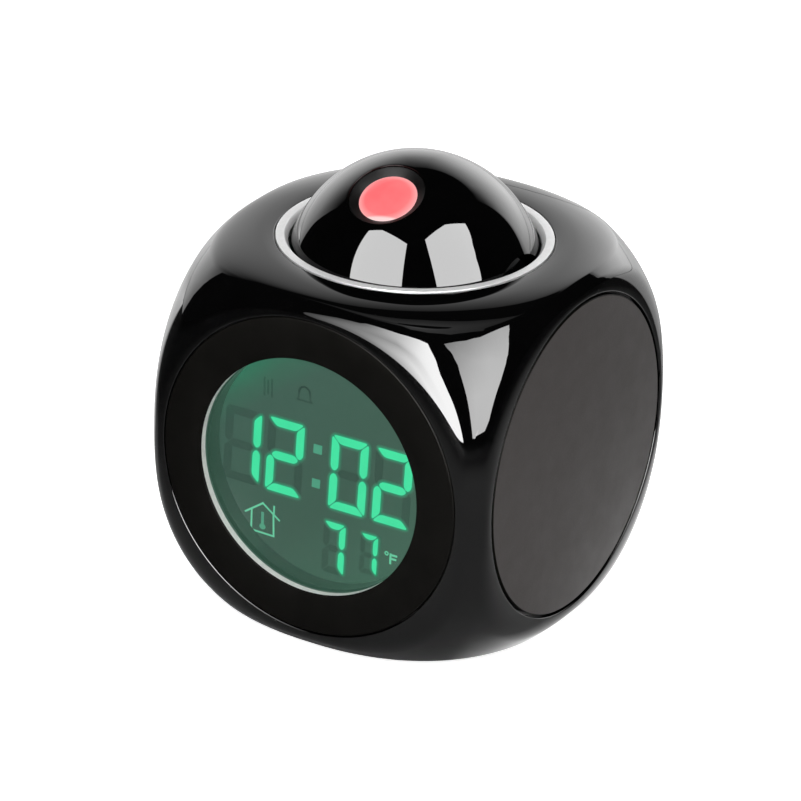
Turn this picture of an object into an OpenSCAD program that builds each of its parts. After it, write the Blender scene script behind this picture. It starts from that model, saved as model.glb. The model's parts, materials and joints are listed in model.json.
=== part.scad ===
// Projection alarm clock: rounded cube case, round display window, ball projector in a top ring.
// Millimetres. Origin at the middle of the footprint on the table, +Z up, display faces -Y.

/* [Case] */
// Width and depth over the flat faces
body_w = 80; // [79.5:0.5:81]
// Height of the case's top face above the table
top_z = 78.1; // [78:0.1:78.2]
// Height of the case's flat underside above the table
base_z = 0.2; // [0.2:0.1:0.4]
// Radius of the ball that rounds the case's corners
corner_r = 55.4; // [55:0.1:56]
// Radius of the three crossed cylinders that round the case's edges
edge_r = 53.7; // [53.4:0.1:54.2]
// Wall at the front face
wall = 2.4; // [2.2:0.1:2.6]

/* [Front] */
// Outer radius of the front ring
bezel_r = 34.6; // [34.4:0.1:34.7]
// Radius of the round window
window_r = 25.8; // [25.4:0.1:25.8]
// Depth of the display glass behind the front face
lcd_depth = 7; // [6.8:0.1:7]

/* [Sides] */
// Radius of the flush side, rear and base discs
disc_r = 33.8; // [33.4:0.1:34]
// Width of the groove round each disc
groove = 0.6; // [0.4:0.1:0.7]

/* [Top] */
// Radius of the projector ball
ball_r = 26.85; // [26.8:0.05:26.9]
// Height of the ball's centre above the table
ball_z = 68.55; // [68.5:0.05:68.6]
// Outer radius of the silver ring
ring_r = 28.55; // [28.5:0.05:28.6]
// Height of the ring's top above the table
ring_z = 78.3; // [78.2:0.1:78.4]
// Lean of the projection lens from upright, towards the front
lens_lean = 27; // [26:1:28]
// Press travel of the ball
press = 1.2; // [1:0.1:1.2]

/* [Rear] */
// Radius of the round keys
key_r = 3.2; // [3:0.1:3.2]
// Distance from one key to the next
key_pitch = 12; // [12:0.1:12.2]
// Number of rings of grille holes
grille_rings = 3; // [2:1:3]

/* [Hidden] */
$fn = 96;
half = body_w/2;
zc = 39.15;
zm = (top_z + base_z)/2;
hz = (top_z - base_z)/2;
side_wall = 3.4;
inner_r = edge_r - 2;
head_y = half - 4.6;
front_y = -half;
split_y = 34;
disc_t = 1.4;
fit_gap = 0.05;
glass_y = front_y + lcd_depth;
glass_t = 2.6;
glass_w = 52;
board_y = front_y + 14;
board_t = 1.6;
key_z = zc + 14;
switch_z = zc + 24;
speaker_z = zc - 12;
case_screw_at = 26.5;
cell_r = 5.25;
cell_l = 44.5;
cell_pitch = 10.9;
cell_z = 9.2;
bay_x = 24.8;
bay_y = 16.5;
pin_r = 2;
flat_x = 24.5;
ball_wall = 2;
cut_z = -8;
ring_t = 1.3;
lens_z = 23;
lens_h = 2.45;
lens_r = 6.05;
stem_r = 5;
bush_r = 9;
bridge_z = 32;
bridge_t = 2.5;
shelf_x = 33;
stem_z = 36;

black = [0.05, 0.05, 0.055];
matt = [0.26, 0.25, 0.24];
dark = [0.07, 0.065, 0.06];
silver = [0.8, 0.8, 0.82];
grey = [0.62, 0.64, 0.62];
white = [0.92, 0.92, 0.9];
green = [0.1, 0.42, 0.25];
steel = [0.7, 0.7, 0.72];

// ---- helpers -------------------------------------------------------------

// Box from its low corner to its high corner
module span(lo, hi) { translate(lo) cube(hi - lo); }

// Cylinder along +Y from y0 to y1 at (x, z)
module ycyl(x, z, y0, y1, r) { translate([x, y1, z]) rotate([90, 0, 0]) cylinder(h = y1 - y0, r = r); }

// Cylinder along +X from x0 to x1 at (y, z)
module xcyl(y, z, x0, x1, r) { translate([x0, y, z]) rotate([0, 90, 0]) cylinder(h = x1 - x0, r = r); }

// Ring along +Y
module yring(x, z, y0, y1, ro, ri) {
  difference() {
    ycyl(x, z, y0, y1, ro);
    ycyl(x, z, y0 - 1, y1 + 1, ri);
  }
}

// Case's outside: a box, a ball and a cylinder along each axis in common
module soft_cube() {
  translate([0, 0, zm]) intersection() {
    cube([body_w, body_w, 2*hz], center = true);
    sphere(corner_r);
    cylinder(h = body_w + 2, r = edge_r, center = true);
    rotate([90, 0, 0]) cylinder(h = body_w + 2, r = edge_r, center = true);
    rotate([0, 90, 0]) cylinder(h = body_w + 2, r = edge_r, center = true);
  }
}

// Case's hollow
module cavity() {
  intersection() {
    span([-half + side_wall, front_y + wall, base_z + side_wall],
         [half - side_wall, half - side_wall, top_z - wall]);
    translate([0, 0, zm]) sphere(inner_r);
  }
}

// Pegs that hold a side disc, side = 1 right, -1 left
module disc_pegs(side, r) {
  for (a = [90, 210, 330])
    xcyl(24*cos(a), zc + 24*sin(a), side > 0 ? half - side_wall - 1 : -half + disc_t,
         side > 0 ? half - disc_t : -half + side_wall + 1, r);
}

// Places children at the four rear case screws
module at_case_screws() {
  for (sx = [-1, 1], sz = [-1, 1]) translate([sx*case_screw_at, 0, zc + sz*case_screw_at]) children();
}

module grille_holes(y0, y1) {
  ycyl(0, speaker_z, y0, y1, 0.9);
  for (k = [1:grille_rings], i = [0:6*k - 1])
    ycyl(3.5*k*cos(i*60/k), speaker_z + 3.5*k*sin(i*60/k), y0, y1, 0.9);
}

module rear_openings(y0, y1) {
  for (i = [-1.5:1:1.5]) ycyl(i*key_pitch, key_z, y0, y1, key_r + 0.2);
  span([-4.7, y0, switch_z - 1.7], [4.7, y1, switch_z + 1.7]);
  grille_holes(y0, y1);
}

module feet_at() { for (sx = [-1, 1], sy = [-1, 1]) translate([sx*16, sy*24, 0]) children(); }

module bay_opening(gap, z0, z1) {
  span([-bay_x - gap, -bay_y - gap, z0], [bay_x + gap, bay_y + gap, z1]);
}

// ---- case ------------------------------------------------------------------

module main_shell() {
  color(black) difference() {
    union() {
      difference() {
        soft_cube();
        cavity();
      }
      intersection() {
        union() {
          at_case_screws() ycyl(0, 0, 24, split_y, 4.2);
          for (sx = [-1, 1], sz = [-1, 1]) translate([sx*case_screw_at, 24, zc + sz*case_screw_at])
            rotate([0, -sx*sz*45 + (sx < 0 ? 180 : 0), 0]) translate([0, 0, -1.2]) cube([14, 10, 2.4]);
          for (sx = [-1, 1]) span([sx > 0 ? shelf_x - 3.5 : -half + 1, -7, bridge_z - 4],
                                  [sx > 0 ? half - 1 : -shelf_x + 3.5, 7, bridge_z]);
        }
        soft_cube();
      }
    }
    span([-half - 1, split_y, -1], [half + 1, half + 1, top_z + 1]);
    ycyl(0, zc, front_y - 1, front_y + 2, bezel_r + 0.15);
    ycyl(0, zc, front_y - 1, front_y + wall + 1, 32.8);
    for (sx = [-1, 1]) xcyl(0, zc, sx > 0 ? half - disc_t : -half - 1, sx > 0 ? half + 1 : -half + disc_t,
                            disc_r + groove);
    disc_pegs(1, 2);
    disc_pegs(-1, 2);
    translate([0, 0, ring_z - ring_t]) cylinder(h = 3, r = ring_r + 0.3);
    translate([0, 0, top_z - wall - 1]) cylinder(h = wall + 2, r = 27.6);
    translate([0, 0, base_z - 1]) cylinder(h = disc_t + 1, r = disc_r + groove);
    bay_opening(0.2, 0, base_z + side_wall + 1);
    at_case_screws() ycyl(0, 0, 26, split_y + 1, 1.4);
    for (sx = [-1, 1]) translate([sx*shelf_x, 0, bridge_z - 3.5]) cylinder(h = 5, r = 1.1);
  }
}

module rear_cover() {
  color(black) difference() {
    union() {
      difference() {
        soft_cube();
        cavity();
      }
      at_case_screws() ycyl(0, 0, split_y, half - side_wall + 0.4, 4.2);
      for (sx = [-1, 1]) ycyl(sx*key_pitch, key_z, 30.4, half - side_wall + 0.4, 1.5);
    }
    span([-half - 1, -half - 1, -1], [half + 1, split_y, key_z - 3]);
    span([-half - 1, -half - 1, key_z + 3], [half + 1, split_y, top_z + 1]);
    span([-half - 1, -half - 1, key_z - 4], [-key_pitch - 2, split_y, key_z + 4]);
    span([key_pitch + 2, -half - 1, key_z - 4], [half + 1, split_y, key_z + 4]);
    span([-key_pitch + 2, -half - 1, key_z - 4], [key_pitch - 2, split_y, key_z + 4]);
    span([-key_pitch - 3, -half - 1, key_z - 4], [key_pitch + 3, 30, key_z + 4]);
    ycyl(0, zc, half - disc_t, half + 1, disc_r + groove);
    rear_openings(split_y, half);
    at_case_screws() {
      ycyl(0, 0, split_y - 1, half + 1, 1.5);
      ycyl(0, 0, head_y, half + 1, 3);
    }
    for (sx = [-1, 1]) ycyl(sx*key_pitch, key_z, 30, 34.6, 0.8);
  }
}

module front_bezel() {
  color(dark) translate([0, 0, zc]) rotate([90, 0, 0]) rotate_extrude() polygon([
    [window_r, half - 0.4], [window_r, half], [bezel_r - 0.3, half], [bezel_r, half - 0.3],
    [bezel_r, half - 2], [32.7, half - 2], [32.7, half - 3.8], [28.25, half - 3.8], [28.25, half - 0.4]]);
}

module window_trim() {
  color(grey) yring(0, zc, front_y + 0.4, front_y + 2.4, 28.25, window_r);
}

module side_panel_right() {
  color(matt) union() {
    xcyl(0, zc, half - disc_t, half - 0.05, disc_r);
    disc_pegs(1, 2);
  }
}

module side_panel_left() {
  color(matt) union() {
    xcyl(0, zc, -half + 0.05, -half + disc_t, disc_r);
    disc_pegs(-1, 2);
  }
}

module rear_panel() {
  color(matt) difference() {
    ycyl(0, zc, half - disc_t, half - 0.05, disc_r);
    rear_openings(half - disc_t - 1, half + 1);
  }
}

module base_panel() {
  color(matt) difference() {
    translate([0, 0, base_z + 0.05]) cylinder(h = disc_t - 0.05, r = disc_r);
    bay_opening(0.2, 0, 3);
    feet_at() cylinder(h = 0.9, r = 4);
  }
}

module feet() {
  color([0.12, 0.12, 0.12]) feet_at() cylinder(h = 0.9, r = 4);
}

module battery_door() {
  color(matt) difference() {
    bay_opening(-0.15, base_z + 0.1, base_z + 2.4);
    translate([0, bay_y - 4, base_z - 8.6]) sphere(10);
  }
}

module top_ring() {
  color(silver) translate([0, 0, ring_z]) rotate_extrude() polygon([
    [25.9, -1.2], [26.75, 0], [ring_r - 0.1, 0], [ring_r, -0.1], [ring_r, -ring_t], [27.55, -ring_t],
    [27.55, -4.6], [27.15, -4.6], [27.15, -1.6], [25.9, -1.45]]);
}

module case_screws() {
  color(steel) at_case_screws() difference() {
    union() {
      ycyl(0, 0, head_y, head_y + 1.6, 2.7);
      ycyl(0, 0, 26, head_y + 0.6, 1.4);
    }
    span([-0.35, head_y + 0.9, -1.6], [0.35, half, 1.6]);
    span([-1.6, head_y + 0.9, -0.35], [1.6, half, 0.35]);
  }
}

// ---- display ---------------------------------------------------------------

module lcd_window() {
  color([0.8, 0.9, 0.85, 0.3]) ycyl(0, zc, front_y + 2.4, front_y + 3.6, 28.2);
}

module lcd_shroud() {
  color([0.15, 0.3, 0.22]) yring(0, zc, front_y + 3.6, glass_y, 28.2, window_r);
}

module lcd_glass() {
  color([0.25, 0.4, 0.34]) span([-glass_w/2, glass_y, zc - glass_w/2],
                                [glass_w/2, glass_y + glass_t, zc + glass_w/2]);
}

// Screw places of the main board
module at_board_screws() {
  for (sx = [-1, 1], z = [15.5, 39.5]) translate([sx*28.8, 0, z]) children();
}

module lcd_frame() {
  color(white) difference() {
    union() {
      intersection() {
        span([-31, glass_y - 1, zc - 31], [31, glass_y + 4, zc + 31]);
        ycyl(0, zc, front_y, 0, 38.8);
      }
      yring(0, zc, front_y + wall, glass_y - 0.5, 35.5, 33.3);
      at_board_screws() ycyl(0, 0, glass_y + 3, board_y, 2.2);
    }
    span([-glass_w/2, glass_y, zc - glass_w/2], [glass_w/2, glass_y + 5, zc + glass_w/2]);
    ycyl(0, zc, front_y, glass_y + 1, 28.3);
    at_board_screws() ycyl(0, 0, glass_y + 1, board_y + 1, 0.9);
  }
}

module light_guide() {
  color([0.7, 0.95, 0.8])
    span([-25.5, glass_y + glass_t, zc - 23], [25.5, glass_y + glass_t + 2.2, zc + 25.8]);
}

module backlight_leds() {
  color([0.3, 1, 0.6]) for (x = [-14, 0, 14])
    span([x - 1.5, glass_y + glass_t + 0.4, zc - 24.6], [x + 1.5, glass_y + glass_t + 1.8, zc - 23]);
}

module zebra_strip() {
  color([0.85, 0.6, 0.55]) span([-23, glass_y + glass_t, zc - 26], [23, board_y, zc - 24.7]);
}

module main_board() {
  color(green) difference() {
    span([-31.5, board_y, 12], [31.5, board_y + board_t, 43]);
    at_board_screws() ycyl(0, 0, board_y - 1, board_y + board_t + 1, 1);
  }
}

module voice_chip() {
  color(black) translate([-8, board_y + board_t, 30]) rotate([-90, 0, 0]) union() {
    cylinder(h = 0.8, r = 5.5);
    translate([0, 0, 0.8]) cylinder(h = 0.7, r = 4);
  }
}

module crystal() {
  color(steel) xcyl(board_y + board_t + 1.1, 36, 10, 17, 1.1);
}

module board_screws() {
  color(steel) at_board_screws() union() {
    ycyl(0, 0, board_y + board_t, board_y + board_t + 1.2, 1.9);
    ycyl(0, 0, board_y - 5, board_y + board_t + 0.5, 0.9);
  }
}

// ---- rear keys -------------------------------------------------------------

module rear_key(i) {
  color([0.32, 0.32, 0.32]) union() {
    ycyl(i*key_pitch, key_z, 34.5, half + 0.8, key_r);
    ycyl(i*key_pitch, key_z, 34.5, 35.6, key_r + 1);
  }
}

module key_mode() { rear_key(-1.5); }
module key_set() { rear_key(-0.5); }
module key_up() { rear_key(0.5); }
module key_down() { rear_key(1.5); }

module key_board() {
  color(green) difference() {
    span([-24, 29, key_z - 5], [24, 30.4, key_z + 5]);
    for (sx = [-1, 1]) ycyl(sx*key_pitch, key_z, 28, 31, 0.8);
  }
}

module key_screws() {
  color(steel) for (sx = [-1, 1]) union() {
    ycyl(sx*key_pitch, key_z, 28.2, 29, 1.4);
    ycyl(sx*key_pitch, key_z, 28.6, 34.6, 0.8);
  }
}

module tact_switches() {
  for (i = [-1.5:1:1.5]) {
    color([0.1, 0.1, 0.1]) union() {
      span([i*key_pitch - 3, 30.4, key_z - 3], [i*key_pitch + 3, 32.6, key_z + 3]);
      ycyl(i*key_pitch, key_z, 32.5, 33.6, 1.6);
    }
  }
}

module slide_switch() {
  color(steel) span([-5.5, 32, switch_z - 3], [5.5, half - side_wall, switch_z + 3]);
}

module projection_knob() {
  color([0.32, 0.32, 0.32]) union() {
    span([-4.4, half - side_wall + 0.1, switch_z - 1.4], [0.4, half + 0.4, switch_z + 1.4]);
    for (x = [-3.6, -2, -0.4])
      span([x - 0.3, half + 0.3, switch_z - 1.4], [x + 0.3, half + 0.8, switch_z + 1.4]);
  }
}

// ---- speaker ---------------------------------------------------------------

module speaker_frame() {
  color(steel) translate([0, half - side_wall, speaker_z]) rotate([90, 0, 0]) rotate_extrude() polygon([
    [12.2, 0], [14.5, 0], [14.5, 1.2], [13, 1.2], [10, 5.4], [4, 5.4], [4, 4.8], [9.6, 4.8], [12.2, 1.4]]);
}

module speaker_cone() {
  color([0.2, 0.2, 0.18]) translate([0, half - side_wall, speaker_z]) rotate([90, 0, 0]) rotate_extrude()
    polygon([[0, 2.6], [4, 2.6], [4.4, 3.2], [11, 0.9], [12.2, 0.9], [12.2, 1.3], [11.2, 1.3], [4.4, 3.7],
             [3.6, 4.4], [3.2, 4.4], [3.2, 3], [0, 3]]);
}

module speaker_magnet() {
  color([0.35, 0.35, 0.36]) translate([0, half - side_wall, speaker_z]) rotate([90, 0, 0]) union() {
    translate([0, 0, 5.4]) cylinder(h = 3, r = 7);
    translate([0, 0, 8.4]) cylinder(h = 1, r = 8);
  }
}

// ---- batteries -------------------------------------------------------------

module battery_tray() {
  color([0.15, 0.15, 0.15]) difference() {
    span([-bay_x - 1.4, -bay_y - 1.4, base_z + side_wall], [bay_x + 1.4, bay_y + 1.4, 16.2]);
    span([-bay_x, -bay_y, 0], [bay_x, bay_y, 14.8]);
  }
}

// One cell, plus end towards dir, in row i
module cell(i, dir) {
  translate([0, i*cell_pitch, cell_z]) mirror([dir < 0 ? 1 : 0, 0, 0]) union() {
    xcyl(0, 0, bay_x - 0.4 - cell_l, bay_x - 1.4, cell_r);
    xcyl(0, 0, bay_x - 1.5, bay_x - 0.4, 1.9);
  }
}

module cell_a() { color([0.2, 0.22, 0.25]) cell(-1, 1); }
module cell_b() { color([0.2, 0.22, 0.25]) cell(0, -1); }
module cell_c() { color([0.2, 0.22, 0.25]) cell(1, 1); }

module contact_springs() {
  room = 2*bay_x - 0.8 - cell_l;
  color(steel) for (i = [-1, 0, 1])
    translate([0, i*cell_pitch, cell_z]) mirror([i == 0 ? 1 : 0, 0, 0]) union() {
      span([-bay_x, -4.5, -4.5], [-bay_x + 0.4, 4.5, 4.5]);
      for (k = [0:4]) translate([-bay_x + 0.8 + k*(room - 0.95)/4, 0, 0]) rotate([0, 90, 0])
        rotate_extrude() translate([3.4 - 0.15*k, 0]) circle(0.5, $fn = 24);
    }
}

module contact_plates() {
  color(steel) for (i = [-1, 0, 1]) translate([0, i*cell_pitch, cell_z]) mirror([i == 0 ? 1 : 0, 0, 0])
    span([bay_x - 0.4, -4.5, -4.5], [bay_x, 4.5, 4.5]);
}

// ---- ball projector --------------------------------------------------------

module ball_bridge() {
  color([0.2, 0.2, 0.2]) difference() {
    union() {
      span([-shelf_x - 3, -9, bridge_z], [shelf_x + 3, 9, bridge_z + bridge_t]);
      translate([0, 0, bridge_z]) cylinder(h = bridge_t + 9.5, r = bush_r + 2.5);
      for (sx = [-1, 1]) translate([sx*10, 6, bridge_z - 1]) cylinder(h = 2, r = 2);
    }
    translate([0, 0, bridge_z - 2]) cylinder(h = 20, r = 6.2);
    translate([0, 0, bridge_z + bridge_t]) cylinder(h = 20, r = bush_r + fit_gap);
    for (sx = [-1, 1]) translate([sx*shelf_x, 0, bridge_z - 1]) cylinder(h = 5, r = 1.3);
  }
}

module bridge_screws() {
  color(steel) for (sx = [-1, 1]) translate([sx*shelf_x, 0, 0]) union() {
    translate([0, 0, bridge_z + bridge_t]) cylinder(h = 1.4, r = 2.3);
    translate([0, 0, bridge_z - 3.5]) cylinder(h = 6.5, r = 1.1);
  }
}

module plunger() {
  color([0.85, 0.85, 0.83]) difference() {
    translate([0, 0, 38]) cylinder(h = 7.5, r = bush_r);
    translate([0, 0, 37]) cylinder(h = 9, r = stem_r + fit_gap);
  }
}

module return_spring() {
  z0 = bridge_z + bridge_t;
  color(steel) for (k = [0:3]) translate([0, 0, z0 + 0.45 + k*(38 - z0 - 0.9)/3])
    rotate_extrude() translate([7.6, 0]) circle(0.45, $fn = 24);
}

module top_board() {
  color(green) span([-13, -9, bridge_z - 2.4], [13, 9, bridge_z - 1]);
}

module talk_switch() {
  color([0.1, 0.1, 0.1]) union() {
    span([-3, -3, bridge_z - 1], [3, 3, bridge_z + 1.6]);
    translate([0, 0, bridge_z + 1.5]) cylinder(h = stem_z - press - bridge_z - 1.7, r = 1.7);
  }
}

module yoke() {
  color([0.2, 0.2, 0.2]) difference() {
    union() {
      for (sx = [-1, 1]) {
        span([sx > 0 ? 24.7 : -26.9, -5, 46], [sx > 0 ? 26.9 : -24.7, 5, ball_z]);
        xcyl(0, ball_z, sx > 0 ? 24.7 : -26.9, sx > 0 ? 26.9 : -24.7, 5);
      }
      span([-26.9, -5, 45.5], [26.9, 5, 48]);
      translate([0, 0, 45.5]) cylinder(h = 2.5, r = 12);
      translate([0, 0, stem_z]) cylinder(h = 10, r = stem_r);
    }
    xcyl(0, ball_z, -30, 30, pin_r + fit_gap);
    translate([0, 0, stem_z + 0.6]) difference() {
      cylinder(h = 0.8, r = stem_r + 1);
      translate([0, 0, -1]) cylinder(h = 3, r = 4.2);
    }
  }
}

module stem_clip() {
  color(steel) translate([0, 0, stem_z + 0.6]) difference() {
    cylinder(h = 0.8, r = 6.4);
    translate([0, 0, -1]) cylinder(h = 3, r = 4.2);
    span([-3, 0, -1], [3, 8, 2]);
  }
}

module ball_pins() {
  color(steel) for (sx = [-1, 1]) xcyl(0, ball_z, sx > 0 ? 22.7 : -26.8, sx > 0 ? 26.8 : -22.7, pin_r);
}

// Ball's skin without its seam
module ball_skin() {
  difference() {
    intersection() {
      sphere(ball_r);
      span([-flat_x, -ball_r, cut_z], [flat_x, ball_r, ball_r]);
    }
    intersection() {
      sphere(ball_r - ball_wall);
      span([-flat_x + 1.8, -ball_r, cut_z + 1.5], [flat_x - 1.8, ball_r, ball_r]);
    }
    xcyl(0, 0, -30, 30, pin_r + 0.02);
  }
}

module ball_top() {
  color(black) translate([0, 0, ball_z]) difference() {
    ball_skin();
    span([-30, -30, -30], [30, 30, 0]);
    rotate([lens_lean, 0, 0]) translate([0, 0, 20]) cylinder(h = 10, r = 8);
  }
}

module ball_bottom() {
  color(black) translate([0, 0, ball_z]) difference() {
    ball_skin();
    span([-30, -30, 0], [30, 30, 30]);
  }
}

module lens_barrel() {
  color([0.1, 0.1, 0.1]) translate([0, 0, ball_z]) rotate([lens_lean, 0, 0]) rotate_extrude()
    polygon([[5.4, 11.5], [6.9, 11.5], [6.9, 22], [7.95, 22], [7.95, 25.3], [7.75, 25.3],
             [lens_r, lens_z + 1.3], [lens_r, lens_z], [5.4, lens_z]]);
}

module proj_lens() {
  color([0.95, 0.4, 0.4]) translate([0, 0, ball_z]) rotate([lens_lean, 0, 0]) intersection() {
    translate([0, 0, lens_z]) cylinder(h = lens_h + 1, r = lens_r);
    translate([0, 0, lens_z + lens_h - 18]) sphere(18);
  }
}

module film_holder() {
  color([0.2, 0.2, 0.2]) translate([0, 0, ball_z]) union() {
    rotate([lens_lean, 0, 0]) rotate_extrude()
      polygon([[7.2, -1.6], [8.6, -1.6], [8.6, 12.5], [6.9, 12.5], [6.9, 10.6], [7.2, 10.6]]);
    difference() {
      for (sx = [-1, 1]) translate([sx*8.6, 0, cut_z/2 + 1.25])
        cube([2, 5, -cut_z - 0.5], center = true);
      rotate([lens_lean, 0, 0]) translate([0, 0, -5]) cylinder(h = 20, r = 7.3);
    }
  }
}

module proj_lcd() {
  color([0.6, 0.65, 0.6]) translate([0, 0, ball_z]) rotate([lens_lean, 0, 0])
    translate([0, 0, 9]) cylinder(h = 1.4, r = 7.2);
}

module condenser() {
  color([0.85, 0.92, 0.95, 0.5]) translate([0, 0, ball_z]) rotate([lens_lean, 0, 0]) intersection() {
    translate([0, 0, 5]) cylinder(h = 4, r = 7.2);
    translate([0, 0, 8.6 - 12]) sphere(12);
  }
}

module proj_led_board() {
  color(green) translate([0, 0, ball_z]) rotate([lens_lean, 0, 0])
    translate([0, 0, -1.6]) cylinder(h = 1.2, r = 7.2);
}

module proj_led() {
  color([0.9, 0.1, 0.1]) translate([0, 0, ball_z]) rotate([lens_lean, 0, 0]) translate([0, 0, -0.4])
  union() {
    cylinder(h = 1, r = 2.9);
    cylinder(h = 2.2, r = 2.5);
    intersection() {
      translate([0, 0, 2.2]) sphere(2.5);
      cylinder(h = 5, r = 2.5);
    }
  }
}

main_shell();
rear_cover();
front_bezel();
window_trim();
lcd_window();
lcd_shroud();
lcd_glass();
lcd_frame();
light_guide();
backlight_leds();
zebra_strip();
main_board();
voice_chip();
crystal();
board_screws();
side_panel_right();
side_panel_left();
rear_panel();
base_panel();
top_ring();
key_board();
key_screws();
tact_switches();
key_mode();
key_set();
key_up();
key_down();
slide_switch();
projection_knob();
speaker_frame();
speaker_cone();
speaker_magnet();
battery_tray();
cell_a();
cell_b();
cell_c();
contact_springs();
contact_plates();
battery_door();
feet();
case_screws();
ball_bridge();
bridge_screws();
plunger();
return_spring();
top_board();
talk_switch();
yoke();
stem_clip();
ball_pins();
ball_top();
ball_bottom();
lens_barrel();
proj_lens();
film_holder();
proj_lcd();
condenser();
proj_led();
proj_led_board();
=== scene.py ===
import json
from math import asin, cos, degrees, hypot, pi, radians, sin, sqrt

import bmesh
import bpy
import numpy as np
from mathutils import Matrix, Vector

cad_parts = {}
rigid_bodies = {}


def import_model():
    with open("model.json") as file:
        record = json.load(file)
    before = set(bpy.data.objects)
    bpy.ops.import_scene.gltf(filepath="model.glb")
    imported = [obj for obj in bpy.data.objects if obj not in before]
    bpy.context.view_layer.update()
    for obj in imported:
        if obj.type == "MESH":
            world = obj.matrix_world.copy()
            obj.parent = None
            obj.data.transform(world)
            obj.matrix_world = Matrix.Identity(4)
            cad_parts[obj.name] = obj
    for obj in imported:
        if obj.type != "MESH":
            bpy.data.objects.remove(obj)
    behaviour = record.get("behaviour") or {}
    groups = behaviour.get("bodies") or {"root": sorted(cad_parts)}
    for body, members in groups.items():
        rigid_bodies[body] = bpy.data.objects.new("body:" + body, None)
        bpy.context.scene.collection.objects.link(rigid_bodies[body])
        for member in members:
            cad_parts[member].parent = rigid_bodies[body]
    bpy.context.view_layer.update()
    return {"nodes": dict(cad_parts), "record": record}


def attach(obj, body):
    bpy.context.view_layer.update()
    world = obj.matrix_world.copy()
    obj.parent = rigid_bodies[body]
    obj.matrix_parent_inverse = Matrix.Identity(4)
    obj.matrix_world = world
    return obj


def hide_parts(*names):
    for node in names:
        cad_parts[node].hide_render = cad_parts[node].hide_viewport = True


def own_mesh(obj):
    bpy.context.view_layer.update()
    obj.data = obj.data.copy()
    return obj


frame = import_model()
MM = 0.001

# ---- sizes in millimetres; those of the solids are the same as theirs --------------
HALF = 40.0                                  # half the width and the depth
BASE_Z, TOP_Z = 0.2, 78.1                    # heights of the case's underside and top
ZM, HZ = (TOP_Z + BASE_Z) / 2, (TOP_Z - BASE_Z) / 2
ZC = 39.15                                   # height of the round faces' centres
SOFT_P, SOFT_R = 2.5, 50.3                   # power and reach of the soft cube between the faces
FLAT_R, TOP_FLAT_R = 35.0, 31.5              # where the flat of a face ends
ROLL_MIN, ROLL_MORE = 1.3, 3.4               # how far past the crease the roll ends, and more at 45 degrees
LIP = 0.25                                   # rounding of a recess's edge
WALL = 2.4
SPLIT_Y, SPLIT_GAP = 34.0, 0.18              # seam between the front and rear parts of the case
CASE_N = 192                                 # points round each face
DISC_R, DISC_T, GROOVE = 33.8, 1.4, 0.6
BEZEL_R, BEZEL_T, BEZEL_GAP, BEZEL_HOLE_R = 34.6, 2.0, 0.15, 32.8
WINDOW_R, LINER_R = 25.8, 28.2               # bore and outside of the window's liner
RING_R, RING_Z, RING_T, RING_GAP, RING_HOLE_R = 28.55, 78.3, 1.3, 0.3, 27.6
BALL_R, BALL_Z, BALL_WALL, BALL_FLAT_X = 26.85, 68.55, 2.0, 24.5
LENS_HOLE_R, LENS_SEAT_R, LENS_SEAT_Z = 8.0, 8.6, 22.0
LEAN = radians(27)                           # the lens leans forward from straight up
LENS_Z, LENS_H, LENS_R, LENS_DOME = 23.0, 2.45, 6.05, 18.0
LENS_MID_Z = 24.5                            # on its axis; its colours and its painted highlights are placed from here
GLASS_Y = -33.0                              # front of the display's glass
KEY_Z, SWITCH_Z, SPEAKER_Z = ZC + 14, ZC + 24, ZC - 12
KEY_HOLE_R, KEY_PITCH, SCREW_HOLE_R, SCREW_AT = 3.4, 12, 3, 26.5
SWITCH_X, SWITCH_H = 4.7, 1.7                # half sizes of the slide switch's opening
GRILLE_RINGS, GRILLE_PITCH, GRILLE_HOLE_R = 3, 3.5, 0.9
BAY_X, BAY_Y = 25, 16.7                      # half sizes of the base's opening for the cells
SPRING_LO, SPRING_HI, SPRING_R, WIRE_R, SPRING_TURNS = 34.5, 38.0, 7.6, 0.45, 2


def srgb(r, g, b):
    """Display values 0-255 to linear colour."""
    def one(c):
        c /= 255.0
        return c / 12.92 if c <= 0.04045 else ((c + 0.055) / 1.055) ** 2.4
    return (one(r), one(g), one(b), 1.0)


# ---- materials -----------------------------------------------------------------
MAT = {}


def new_material(name):
    """Makes a material, keeps it in MAT by its name, and returns its node tree and its shader."""
    m = bpy.data.materials.new(name)
    m.use_nodes = True
    MAT[name] = m
    return m.node_tree, m.node_tree.nodes["Principled BSDF"]


def add_noise(nt, scale, detail=3.0):
    """Noise node in the object's own coordinates."""
    tc = nt.nodes.new("ShaderNodeTexCoord")
    no = nt.nodes.new("ShaderNodeTexNoise")
    no.inputs["Scale"].default_value = scale
    no.inputs["Detail"].default_value = detail
    nt.links.new(tc.outputs["Object"], no.inputs["Vector"])
    return no


def ramp(nt, source, stops):
    """Colour ramp on a socket; returns its colour socket."""
    r = nt.nodes.new("ShaderNodeValToRGB")
    els = r.color_ramp.elements
    while len(els) < len(stops):
        els.new(0.5)
    for e, (pos, col) in zip(els, stops):
        e.position = pos
        e.color = col
    nt.links.new(source, r.inputs["Fac"])
    return r.outputs["Color"]


def grey(v):
    return (v, v, v, 1.0)


def maths(nt, operation, *values):
    """Math node on numbers or sockets; returns its output socket."""
    n = nt.nodes.new("ShaderNodeMath")
    n.operation = operation
    for i, v in enumerate(values):
        if isinstance(v, (int, float)):
            n.inputs[i].default_value = v
        else:
            nt.links.new(v, n.inputs[i])
    return n.outputs[0]


def vector_maths(nt, operation, vector, other=None, result="Vector"):
    """Vector Math node on a socket and, where it takes one, a fixed vector."""
    n = nt.nodes.new("ShaderNodeVectorMath")
    n.operation = operation
    nt.links.new(vector, n.inputs[0])
    if other is not None:
        n.inputs[1].default_value = other
    return n.outputs[result]


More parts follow.
